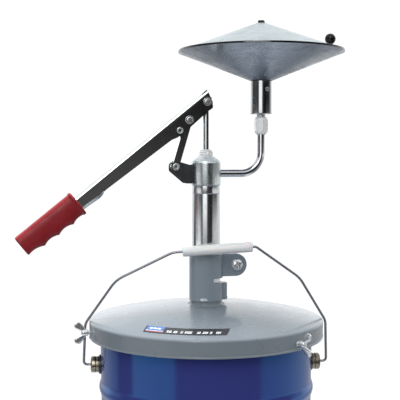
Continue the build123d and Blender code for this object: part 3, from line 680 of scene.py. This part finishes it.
def make_label():
    """A plain printed strip on the dome: a dark band, a blue block and a few bars, with no lettering."""
    columns, rows = 96, 14
    points, faces, kinds = [], [], []
    for j in range(rows + 1):
        radius, start, end = (b + (a - b) * j / rows for a, b in zip(LABEL_INNER, LABEL_OUTER))
        for i in range(columns + 1):
            angle = radians(start + (end - start) * i / columns)
            points.append((radius * cos(angle), radius * sin(angle), dome_height(radius) + 0.3))
    bars = ((28, 34), (36, 41), (44, 47), (49, 57), (62, 66), (68, 74), (76, 79), (83, 88))
    for j in range(rows):
        for i in range(columns):
            a = j * (columns + 1) + i
            faces.append((a, a + 1, a + columns + 2, a + columns + 1))
            kind = 0
            if 2 <= i < 24:
                kind = 1 if j >= 5 else 2 if j == 4 else 3 if j >= 2 else 0
                if 6 <= i < 20 and j in (8, 9, 10) and i % 5 != 0:
                    kind = 2
            elif 3 <= j < 7 and any(low <= i < high for low, high in bars):
                kind = 2 if i % 2 or j in (3, 6) else 0
            kinds.append(kind)
    edge = [k for k in range(columns + 1)] + [j * (columns + 1) + columns for j in range(1, rows + 1)]
    edge += [rows * (columns + 1) + k for k in reversed(range(columns))]
    edge += [j * (columns + 1) for j in reversed(range(1, rows))]
    base = len(points)
    for k in edge:
        x, y, z = points[k]
        points.append((x, y, z - 0.35))
    for n in range(len(edge)):
        m = (n + 1) % len(edge)
        faces.append((edge[n], edge[m], base + m, base + n))
        kinds.append(0)
    piece = new_piece("lid_label_strip", points, faces,
                      "label_film", "label_blue", "label_white", "label_red")
    for face, kind in zip(piece.data.polygons, kinds):
        face.material_index = kind
    belongs(piece, "pail", ["lid_label"])


# ---- pump


def weld_lump(centre, out, along, sizes, seed):
    """An uneven drop of weld: a ball stretched along the seam, with a rough skin."""
    rows, columns = 18, 26
    up = out.cross(along)
    points = []
    for i in range(rows + 1):
        polar = pi * i / rows
        for turn in circle(columns):
            way = Vector((sin(polar) * cos(turn), sin(polar) * sin(turn), cos(polar)))
            grow = 1 + 0.3 * noise.noise(way * 1.6 + Vector((seed, 0, 0)))
            swell = along * way.x * sizes[0] + out * way.y * sizes[1] + up * way.z * sizes[2]
            points.append(centre + swell * grow)
    return points, grid_faces(rows + 1, columns)


def make_welds():
    """Lumpy beads of weld at the sleeve's foot, and a small one at the end of its block."""
    height = node_box("clamp_sleeve")[0].z + 2.2
    lumps = []
    for number, bearing in enumerate((-112.0, 50.0, 130.0)):
        for offset, size in ((-7.0, 2.2), (-1.0, 3.0), (6.0, 2.4)):
            angle = radians(bearing + offset)
            out, along = facing(angle), facing(angle + pi / 2)
            lumps.append(weld_lump(out * 22.0 + Vector((0, 0, height)), out, along,
                                   (size * 1.1, size * 0.95, size * 0.9), 3.0 * number + offset))
    lumps.append(weld_lump(Vector((27.4, -3, height + 1)), Vector((1, 0, 0)), Vector((0, 1, 0)),
                           (1.9, 1.8, 1.9), 20.0))
    mesh("weld_beads", together(*lumps), "pail", "weld_paint", "sleeve_welds", sharp=70)


def make_clamp_screw():
    """A pan-head screw: a dome with a cross recess, on its shank."""
    centre = node_centre("clamp_screw")
    low, high = node_box("clamp_screw")
    radius, rise, seat = 8.2, 5.0, low.y + 5.0
    place = axis_matrix((centre.x, seat, centre.z), (0, -1, 0))
    points, rings, segments = [], 56, 112
    for i in range(rings + 1):
        t = i / rings
        r = radius * t
        z = rise * (1 - t**2.6) ** 0.5 if t < 1 else 0.0
        for angle in circle(segments):
            u, v = r * cos(angle), r * sin(angle)
            arm = min(abs(u), abs(v)) < 0.85 and max(abs(u), abs(v)) < 4.3
            sunk = (2.2 * (1 - max(abs(u), abs(v)) / 7.0)) if arm else 0.0
            points.append(place @ Vector((u, v, z - sunk)))
    faces = grid_faces(rings + 1, segments) + caps(rings + 1, segments)[1:]
    shank = thread(4.0, 1.25, 0.6, -(high.y - seat), 0.2, place)
    mesh("clamp_pan_screw", together((points, faces), shank), "pail", "screw_steel",
         "clamp_screw", sharp=40)


def make_tube_and_head():
    _, low, high = span("outer_tube")
    radius, bore = node_box("outer_tube")[1].x, TUBE_BORE
    mesh("pump_tube", lathed([(bore, low), (radius, low), (radius, high - 0.3), (radius - 0.35, high),
         (bore, high)], (0.2, 0.3, 0.3, 0.2, 0), segments=144), "mast", "bright_steel", "outer_tube")
    _, low, high = span("tube_collar")
    mesh("head_collar", lathed([(bore, low), (18.3, low), (18.9, low + 0.8), (18.9, high - 0.9),
         (18.3, high - 0.2), (bore, high - 0.2)], (0, 0.4, 0.4, 0.4, 0.3, 0), segments=144), "mast",
         "bright_steel", "tube_collar")
    reach, _, top = span("pump_head")
    foot = HEAD_FOOT
    head = rounded([(0, HEAD_SPIGOT), (bore, HEAD_SPIGOT), (bore, foot), (reach - 0.9, foot),
                    (reach, foot + 0.9), (reach, 564.9), (18.4, 568.0), (8.6, top), (0, top)],
                   (0, 0.3, 0, 0.4, 0.5, 2.6, 3.2, 0.5, 0), 8)
    casting = mesh("head_casting", turned(head, segments=144), "mast", "head_steel", "pump_head")
    # painted highlight: the faces of the head's dome above DOME_FOOT take the lighter copy of the head's steel,
    # standing in for the light the dome catches
    casting.data.materials.append(materials["dome_steel"].material)
    for face in casting.data.polygons:
        face.material_index = int(face.center.z / MM > DOME_FOOT)


def make_gland():
    foot, top = node_box("pump_head")[1].z, node_box("gland_nut")[1].z
    barrel = rounded([(8.0, foot), (9.6, foot + 0.7), (9.3, top - 3.2), (6.8, top), (5.2, top)],
                     (0, 0.3, 1.6, 1.2, 0), closed=False)
    mesh("gland_hex", hex_nut(16.5, barrel, bore=4.1), "mast", "white_zinc", "gland_nut", sharp=28)


def make_rod():
    _, low, high = span("pump_rod")
    mesh("piston_rod", lathed([(0, low), (4.0, low), (4.0, high), (0, high)], (0, 0.6, 0.6, 0),
         segments=64), "rod", "bright_steel", "pump_rod")


def make_outlet():
    z = span("outlet_pipe")[1] + PIPE_RADIUS
    route = rounded([(16, 0, z), (outlet_x, 0, z), (outlet_x, 0, PIPE_END)], (0, 28.0, 0), 28, False)
    mesh("bent_pipe", tube(route, PIPE_RADIUS, PIPE_BORE, 48), "mast", "pipe_steel", "outlet_pipe")
    _, low, high = span("pipe_nut")
    barrel = rounded([(7.4, low), (9.7, low + 3.8), (9.7, high - 3.8), (7.4, high)], (0, 3, 3, 0),
                     closed=False)
    mesh("compression_nut", hex_nut(17.4, barrel, AT_OUTLET, bore=5.4), "mast", "white_zinc", "pipe_nut",
         sharp=28)
    mesh("socket_nipple", lathed([(PIPE_BORE, PIPE_END), (5.9, PIPE_END), (5.9, NIPPLE_TOP),
         (PIPE_BORE, NIPPLE_TOP)], (0, 0.3, 0.3, 0), AT_OUTLET, 64), "mast", "zinc_steel", "outlet_nipple")
    reach, low, high = span("packer_socket")
    mesh("packer_boss", lathed([(6.0, low), (reach - 0.2, low), (reach, low + 1.0), (reach, high - 0.4),
         (9.0, high - 0.4), (9.0, NIPPLE_TOP), (6.0, NIPPLE_TOP)], (0.3, 0.9, 0.6, 0.4, 0.2, 0, 0),
         AT_OUTLET, 128), "mast", "dark_chrome", "packer_socket")


def make_packer():
    rim, low, high = span("lower_cone")
    bead, foot_r, foot_z = 1.4, SOCKET_RADIUS, SOCKET_TOP
    rim_z = high - 2 * bead + 0.2
    slope = atan2(rim_z - foot_z, rim - foot_r)
    outer = [(foot_r + (rim - 1.0 - foot_r) * k / 30, foot_z + (rim_z - foot_z) * k / 30) for k in range(31)]
    inner = [(r - CONE_SHEET * sin(slope), z + CONE_SHEET * cos(slope)) for r, z in reversed(outer)]
    spigot = [(5.0, foot_z + 3.0), (5.0, 655.4), (8.6, 655.0), (9.0, 655.6), (9.0, foot_z - 0.2)]
    mesh("packer_funnel", turned(spigot + outer + inner, AT_OUTLET, 192), "mast", "cone_steel",
         "lower_cone")
    # painted reflection: the rim bead's darker steel stands in for the dark room that it reflects
    mesh("packer_rim_bead", lathed([(rim - 2.4, high - 2.75), (rim, high - 2.75), (rim, high - 0.1),
         (rim - 2.4, high - 0.1)], (0.9, 0.5, 0.5, 0.9), AT_OUTLET, 224), "mast", "rim_steel", "lower_cone")
    reach, base_z, top_z = span("upper_cone")
    top_r = 6.8
    slope = atan2(top_z - base_z, reach - top_r)
    outer = [(top_r + (reach - top_r) * k / 30, top_z - (top_z - base_z - 1.25) * k / 30) for k in range(31)]
    edge = [(reach - 0.05 - 0.6 * (1 - cos(a)), base_z + 0.65 - 0.62 * sin(a)) for a in
            (radians(-60 + 24 * k) for k in range(6))]
    under = [(r - CONE_SHEET * sin(slope), z - CONE_SHEET * cos(slope)) for r, z in reversed(outer[:-1])]
    mesh("packer_hat", turned(outer[:-1] + edge + under, AT_OUTLET, 192), "packer_cone", "hat_steel",
         "upper_cone")
    _, low, high = span("cone_hub")
    mesh("hat_hub", lathed([(5.1, low), (8.6, low), (9.0, low + 1), (9.0, high - 2.6), (6.7, high - 1.7),
         (6.6, high - 0.1), (5.1, high - 0.1)], (0.2, 0.4, 0.3, 0, 0, 0.5, 0.2), AT_OUTLET, 96),
         "packer_cone", "zinc_steel", "cone_hub")
    _, low, high = span("packer_spindle")
    screw = thread(5.0, 1.5, 0.75, high - SPINDLE_THREAD, high, AT_OUTLET, 56)
    plain = lathed([(2.0, low), (4.9, low), (4.9, high - SPINDLE_THREAD), (2.0, high - SPINDLE_THREAD)],
        (0.2, 0.3, 0, 0), AT_OUTLET, 64)
    mesh("spindle_screw", together(screw, plain), "mast", "dark_steel", "packer_spindle",
         slot="bright_steel")
    centre = node_centre("knob")
    radius = 7.5
    middle = span("knob")[2] - radius
    ball = arc((0, middle), radius, 90, -6.0, 26)
    ball += [(3.7, middle - 6.9), (3.3, middle - 7.1), (3.2, middle - 5.6), (0, middle - 5.6)]
    place = Matrix.Translation((centre.x, centre.y, 0))
    mesh("turning_knob", turned(ball, place, 72), "packer_cone", "knob_plastic", "knob")
    _, low, high = span("knob_stem")
    mesh("knob_post", lathed([(0, low), (2.0, low), (2.0, low + 5.0), (4.2, low + 5.4), (4.2, low + 7.4),
         (2.9, low + 7.8), (2.7, middle - 6.0), (0, middle - 6.0)], (0, 0.3, 0, 0.4, 0.5, 0.4, 0.2, 0),
         place, 48), "packer_cone", "dark_steel", "knob_stem")


# ---- linkage


def on_lever(a, b, y=0.0):
    """A point a along the lever from the rod pivot, b above it and y across."""
    c, s = cos(LEVER_SLOPE), sin(LEVER_SLOPE)
    return Vector((rod_pivot.x - a * c - b * s, y, rod_pivot.z - a * s + b * c))


def smooth_step(value, low, high):
    t = min(1.0, max(0.0, (value - low) / (high - low)))
    return t * t * (3 - 2 * t)


def lever_low_edge(a):
    """How far below the rod pivot the flat of each flange reaches, at a distance along the lever."""
    if a < 60:
        return -10.4 - 1.5 * smooth_step(a, 0, 45)
    if a < 72:
        return -11.9 + 2.7 * smooth_step(a, 60, 72)
    return -9.2 + 4.0 * min(1.0, (a - 72) / 108) + 2.0 * smooth_step(a, 180, 218)


def make_lever():
    """The pressed channel: rounded shoulders, flanges bent in towards each other by the grip, a raked tip."""
    half, sheet, top, corner = LEVER_HALF, LEVER_SHEET, LEVER_TOP, 5.0
    stations = spaced((-9.4, 0, 14), (3, 75, 40), (80, 175, 30), (177, 193, 17), (196, 221, 10),
                      (224, 296, 10))
    rake = tan(radians(13.0))  # of the tip
    rows = []
    for a in stations:
        low = lever_low_edge(a)
        fold = smooth_step(a, 178, 190) * (a < 222)
        lip = -8.9 + 1.5 * smooth_step(a, 190, 216)
        start = low + 2.0 * (1 - fold)
        end = (half - 3.7 * fold, low + (lip - low) * fold)
        shoulder = [(half - corner + corner * sin(t), top - corner + corner * cos(t))
                    for t in np.linspace(0, pi / 2, 9)]
        side = [(half, z) for z in np.linspace(top - corner, start, 9)[1:]]
        foot = [(half + (end[0] - half) * t, start + (end[1] - start) * t) for t in np.linspace(0, 1, 6)[1:]]
        line = [Vector(p) for p in [(0.0, top), (2.0, top)] + shoulder + side + foot]
        inner = []
        for i, p in enumerate(line):
            along = (line[min(i + 1, len(line) - 1)] - line[max(i - 1, 0)]).normalized()
            inner.append(p + Vector((along.y, -along.x)) * sheet)
        inner[0] = Vector((0, top - sheet))
        row = []
        for y, b in line + inner[::-1]:
            share = min(1.0, max(0.0, 3 - a) / 12.4)
            drop = max(0.0, (-3.0 - b) / 8.0)
            row.append((a + share * ((top - b) * rake + 6.0 * drop * drop), b, y))
        rows.append(row)
    count = len(rows[0])
    points = [on_lever(a, b, -y) for row in rows for a, b, y in row]
    points += [on_lever(a, b, y) for row in rows for a, b, y in row]
    faces = grid_faces(len(rows), count)
    size = len(rows) * count
    for base in (0, size - count):
        faces += [(base + k, base + k + 1, base + count - 2 - k, base + count - 1 - k)
                  for k in range(count // 2 - 1)]
    faces += [tuple(size + k for k in reversed(face)) for face in faces]
    mesh("lever_pressing", (points, faces), "lever", "lever_steel", "lever_channel", sharp=32)


def pin_head(place, start, radius, height, hollow=0.0, dome=0.4):
    """A pin's or rivet's head: low and domed, or with the rolled rim of a tubular rivet."""
    if hollow:
        outline = rounded([(hollow, start - 0.2), (radius, start - 0.2), (radius, start + height * 0.4),
                           (radius - 0.9, start + height), (hollow + 0.6, start + height),
                           (hollow, start + height * 0.3)], (0, 0.1, 0.5, 0.5, 0.5, 0.3))
        bottom = turned([(0, start - 0.9), (hollow + 0.1, start - 0.9)], place, 40)
        return together(turned(outline, place, 56), bottom)
    outline = [(0, start + height + dome)]
    outline += [(radius * 0.86 * sin(t), start + height + dome * cos(t)) for t in np.linspace(0.1, pi / 2, 8)]
    outline += [tuple(p) for p in rounded([(radius * 0.88, start + height), (radius, start + height * 0.75),
                                           (radius, start), (0, start)], (0.2, 0.4, 0.1, 0))]
    return turned(outline, place, 56)


def make_pins():
    side = LEVER_HALF
    for name, centre, body, gap in (("rod", rod_pivot, "lever", 0.0), ("link", lever_pivot, "link", 0.3)):
        shapes = []
        for sign in (1, -1):
            start, place = side + gap, axis_matrix(centre, (0, sign, 0))
            washer = lathed([(3.4, start), (5.7, start), (5.7, start + 0.8), (3.4, start + 0.8)],
                (0, 0.15, 0.25, 0), place, 56)
            shapes += [washer, pin_head(place, start + 0.7, 4.1, 0.5)]
        bar = turned([(0, -side - 0.2), (3.0, -side - 0.2), (3.0, side + 0.2), (0, side + 0.2)],
                     axis_matrix(centre, (0, 1, 0)), 40)
        mesh(f"{name}_pivot_pin", together(bar, *shapes), body, "pin_steel",
             f"{name}_pin")
    for name, node, centre, body, radius, hole in (
            ("stop_tube_rivet", "stop_rivet", stop_place, "lever", 4.4, 2.0),
            ("bracket_tube_rivet", "bracket_rivet", link_pivot, "mast", 4.9, 2.2)):
        shapes = [pin_head(axis_matrix(centre, (0, sign, 0)), side, radius, 0.9, hole) for sign in (1, -1)]
        bar = turned([(hole, -side), (radius - 0.85, -side), (radius - 0.85, side), (hole, side)],
                     axis_matrix(centre, (0, 1, 0)), 40)
        mesh(name, together(bar, *shapes), body, "pin_steel", node)


def make_grip():
    """The soft red grip: a guard at its front, finger hollows with sharp ridges below, a flat closed end."""
    start, end, guard_end = GRIP_START, GRIP_END, 221.0
    ridges = ((guard_end, -12.4), (239.0, -13.9), (261.7, -12.8), (284.4, -11.8), (end, -8.2))
    depths = (2.0, 3.0, 3.0, 2.6)

    def underside(a):
        for (a0, b0), (a1, b1), depth in zip(ridges, ridges[1:], depths):
            if a <= a1:
                t = max(0.0, (a - a0) / (a1 - a0))
                return b0 + (b1 - b0) * t + depth * (1 - (2 * t - 1) ** 2)
        return ridges[-1][1]

    def round_off(distance, radius):
        """How far an edge of this radius has drawn in, at a distance from the end face."""
        return radius - sqrt(max(0.0, radius**2 - (radius - distance) ** 2)) if distance < radius else 0.0

    stations = [start + 1.2 * (1 - cos(pi / 2 * k / 5)) for k in range(6)]
    stations += spaced((218.8, 222.4, 9), (223, 306, 130))
    stations += [end - 2.0 * (1 - sin(pi / 2 * k / 8)) for k in range(9)]
    section = 72
    points = []
    for a in stations:
        guard = 1 - smooth_step(a, 219.6, 222.4)
        top, low, half = 20.2 + 1.0 * guard, underside(a) - 1.0 * guard, 13.3 - 0.9 * smooth_step(a, 222, 300)
        half += 1.7 * guard
        inset = round_off(a - start, 1.2) + round_off(end - a, 2.0)
        middle, tall, wide = (top + low) / 2, (top - low) / 2 - inset, half - inset
        for t in circle(section):
            points.append(on_lever(a, middle + squared(sin(t), 0.62) * tall, squared(cos(t), 0.62) * wide))
    faces = grid_faces(len(stations), section)
    last = (len(stations) - 1) * section
    points += [on_lever(start, 4.0), on_lever(end, 6.0)]
    for k in range(section):
        m = (k + 1) % section
        faces += [(m, k, len(points) - 2), (last + k, last + m, len(points) - 1)]
    mesh("lever_grip", (points, faces), "lever", "grip_red", "hand_grip", sharp=38)


def soften(*nodes, width=0.35, segments=3):
    """Rounds the edges of CAD pieces that are shown as they are."""
    for node in nodes:
        piece = frame["nodes"][node]
        piece.data.shade_smooth()
        piece.data.set_sharp_from_angle(angle=radians(30))
        bevel = piece.modifiers.new("edges", "BEVEL")
        bevel.width, bevel.segments, bevel.limit_method = width * MM, segments, "ANGLE"
        bevel.angle_limit = radians(38)


make_pail()
make_ears()
make_bail()
make_bail_grip()
make_lid()
make_wing_screws()
make_label()
make_welds()
make_clamp_screw()
make_tube_and_head()
make_gland()
make_rod()
make_outlet()
make_packer()
make_lever()
make_pins()
make_grip()
soften("clamp_sleeve", "lever_bracket", "link", "clamp_nut", "lid_weld_nuts")

# ---- camera, light and floor


def aimed(name, data, place, direction):
    """A camera or a lamp at a place, facing a direction."""
    holder = bpy.data.objects.new(name, data)
    holder.location = place
    holder.rotation_euler = Vector(direction).to_track_quat("-Z", "Y").to_euler()
    bpy.context.scene.collection.objects.link(holder)
    return holder


def camera():
    """Stands about 1.2 m away, level with the top of the pump's head."""
    lens = bpy.data.cameras.new("camera")
    lens.lens, lens.sensor_width, lens.clip_start = 81.45, 36.0, 0.01
    bpy.context.scene.camera = aimed("camera", lens, (-0.3015, -1.1760, 0.573), (0.2416, 0.9692, -0.0475))


def softbox(name, place, target, size, power):
    """A rectangular studio light that faces a point, and isn't seen itself."""
    lamp = bpy.data.lights.new(name, "AREA")
    lamp.shape, lamp.size, lamp.size_y, lamp.energy = "RECTANGLE", *size, power
    holder = aimed(name, lamp, place, Vector(target) - Vector(place))
    holder.visible_camera = holder.visible_glossy = False


def studio():
    """What is seen past the object is plain white. What lights it, and shows in its reflections, is
    bright and dark walls in three bands of height, between a ground and a ceiling, and one lamp."""
    world = bpy.context.scene.world = bpy.data.worlds.new("studio")
    world.use_nodes = True
    sky = Nodes(world.node_tree)
    sky.tree.nodes.clear()

    def ramp(value, stops):
        output = sky.add("ValToRGB", (value,))
        output.node.color_ramp.interpolation = "EASE"
        elements = output.node.color_ramp.elements
        while len(elements) < len(stops):
            elements.new(0.5)
        for element, (position, colour) in zip(elements, stops):
            element.position = position
            element.color = (*colour, 1) if hasattr(colour, "__len__") else (colour, colour, colour, 1)
        return output

    x, y, z = sky.parts(sky.add("TexCoord", output="Generated"))
    turn = sky.maths("ADD", sky.maths("DIVIDE", sky.maths("ARCTAN2", y, x), 2 * pi), 0.5)
    height = sky.maths("ADD", sky.maths("MULTIPLY", z, 0.5), 0.5)

    def walls(*stops):
        return ramp(turn, [(bearing / 360 + 0.5, grey) for bearing, grey in stops])

    # each wall is a list of (bearing in degrees, brightness); the camera stands at bearing -104
    lower = walls((-180, 0.6), (-140, 0.5), (-134, 0.03), (-48, 0.03), (-40, 0.35), (20, 0.6),
                  (124, 0.5), (142, 0.35), (150, 0.06), (168, 0.06), (174, 0.6))
    middle = walls((-180, 1.3), (-154, 1.2), (-140, 0.25), (-124, 0.3), (-106, 0.3), (-92, 0.07), (-58, 0.05),
                   (-44, 0.9), (24, 0.9), (40, 1.0), (128, 1.0), (142, 0.1), (160, 0.1), (172, 1.2))
    upper = walls((-180, 0.07), (-134, 0.06), (-126, 1.5), (-102, 1.5), (-91, 0.06), (-84, 0.045),
                  (-74, 0.009), (-14, 0.03), (10, 0.5), (26, 1.0), (60, 1.35), (100, 1.35), (130, 1.0),
                  (148, 0.4), (160, 0.06))
    ceiling = ramp(height, [(0.6, (0.98, 1.0, 0.98)), (0.72, (0.80, 0.87, 0.89)), (1.0, (1.0, 1.0, 1.0))])
    ground = walls((-180, (0.24, 0.26, 0.28)), (-132, (0.2, 0.21, 0.24)), (-112, (0.07, 0.09, 0.12)),
                   (-98, (0.07, 0.09, 0.12)), (-76, (0.13, 0.15, 0.18)), (0, (0.24, 0.26, 0.28)))
    lamp = walls((-124, 0.0), (-119, 1.0), (-106, 1.0), (-101, 0.0))
    glare = (5.5, 5.5, 5.5, 1)

    def band(low, high):
        return ramp(height, [((1 + sin(radians(low))) / 2, 0.0), ((1 + sin(radians(high))) / 2, 1.0)])

    colour = ground
    for low, high, wall in ((-36, -24, lower), (-9, -4, middle), (-3, 2, upper), (14, 28, ceiling)):
        colour = sky.blend(band(low, high), colour, wall)
    lamp = sky.maths("MULTIPLY", lamp, sky.maths("SUBTRACT", band(18, 24), band(46, 52)))
    lit = sky.add("Background", (sky.blend(lamp, colour, glare),))
    seen = sky.add("Background", ((1, 1, 1, 1), 1.05))
    shown = sky.mix_shaders(sky.add("LightPath", output="Is Camera Ray"), lit, seen)
    sky.feed(shown, sky.tree.nodes.new("ShaderNodeOutputWorld").inputs[0])
    softbox("front_left", (-1.08, -2.03, 1.2), (0.0, 0.0, 0.6), (2.0, 2.0), 8)
    softbox("right_side", (1.79, -0.65, 0.95), (0.0, 0.0, 0.5), (1.1, 1.6), 3)
    softbox("overhead", (0.2, 0.3, 2.3), (0.0, 0.0, 0.4), (1.2, 0.9), 84)


def floor():
    """A pale floor that fades into the white around it."""
    radius, rings = 800.0, 24
    points, faces = turned([(radius * k / rings, 0.0) for k in range(rings + 1)])
    paint = materials["floor"] = Paint("pale_floor", (176, 178, 181), 0.55)
    paint.vary_roughness(paint.noise(paint.stretched(12.0), 3), 0.05)
    distance = paint.parts(paint.around((0, 0)))[0]
    clear = paint.add("BsdfTransparent")
    fading = paint.mix_shaders(paint.spread(distance, 0.35, 0.78), paint.shader.outputs[0], clear)
    paint.feed(fading, paint.tree.nodes["Material Output"].inputs["Surface"])
    ground = new_piece("floor", points, faces, "floor")
    weld(ground.data, dissolve=False)


camera()
studio()
floor()
bpy.context.scene.view_settings.view_transform = "Standard"
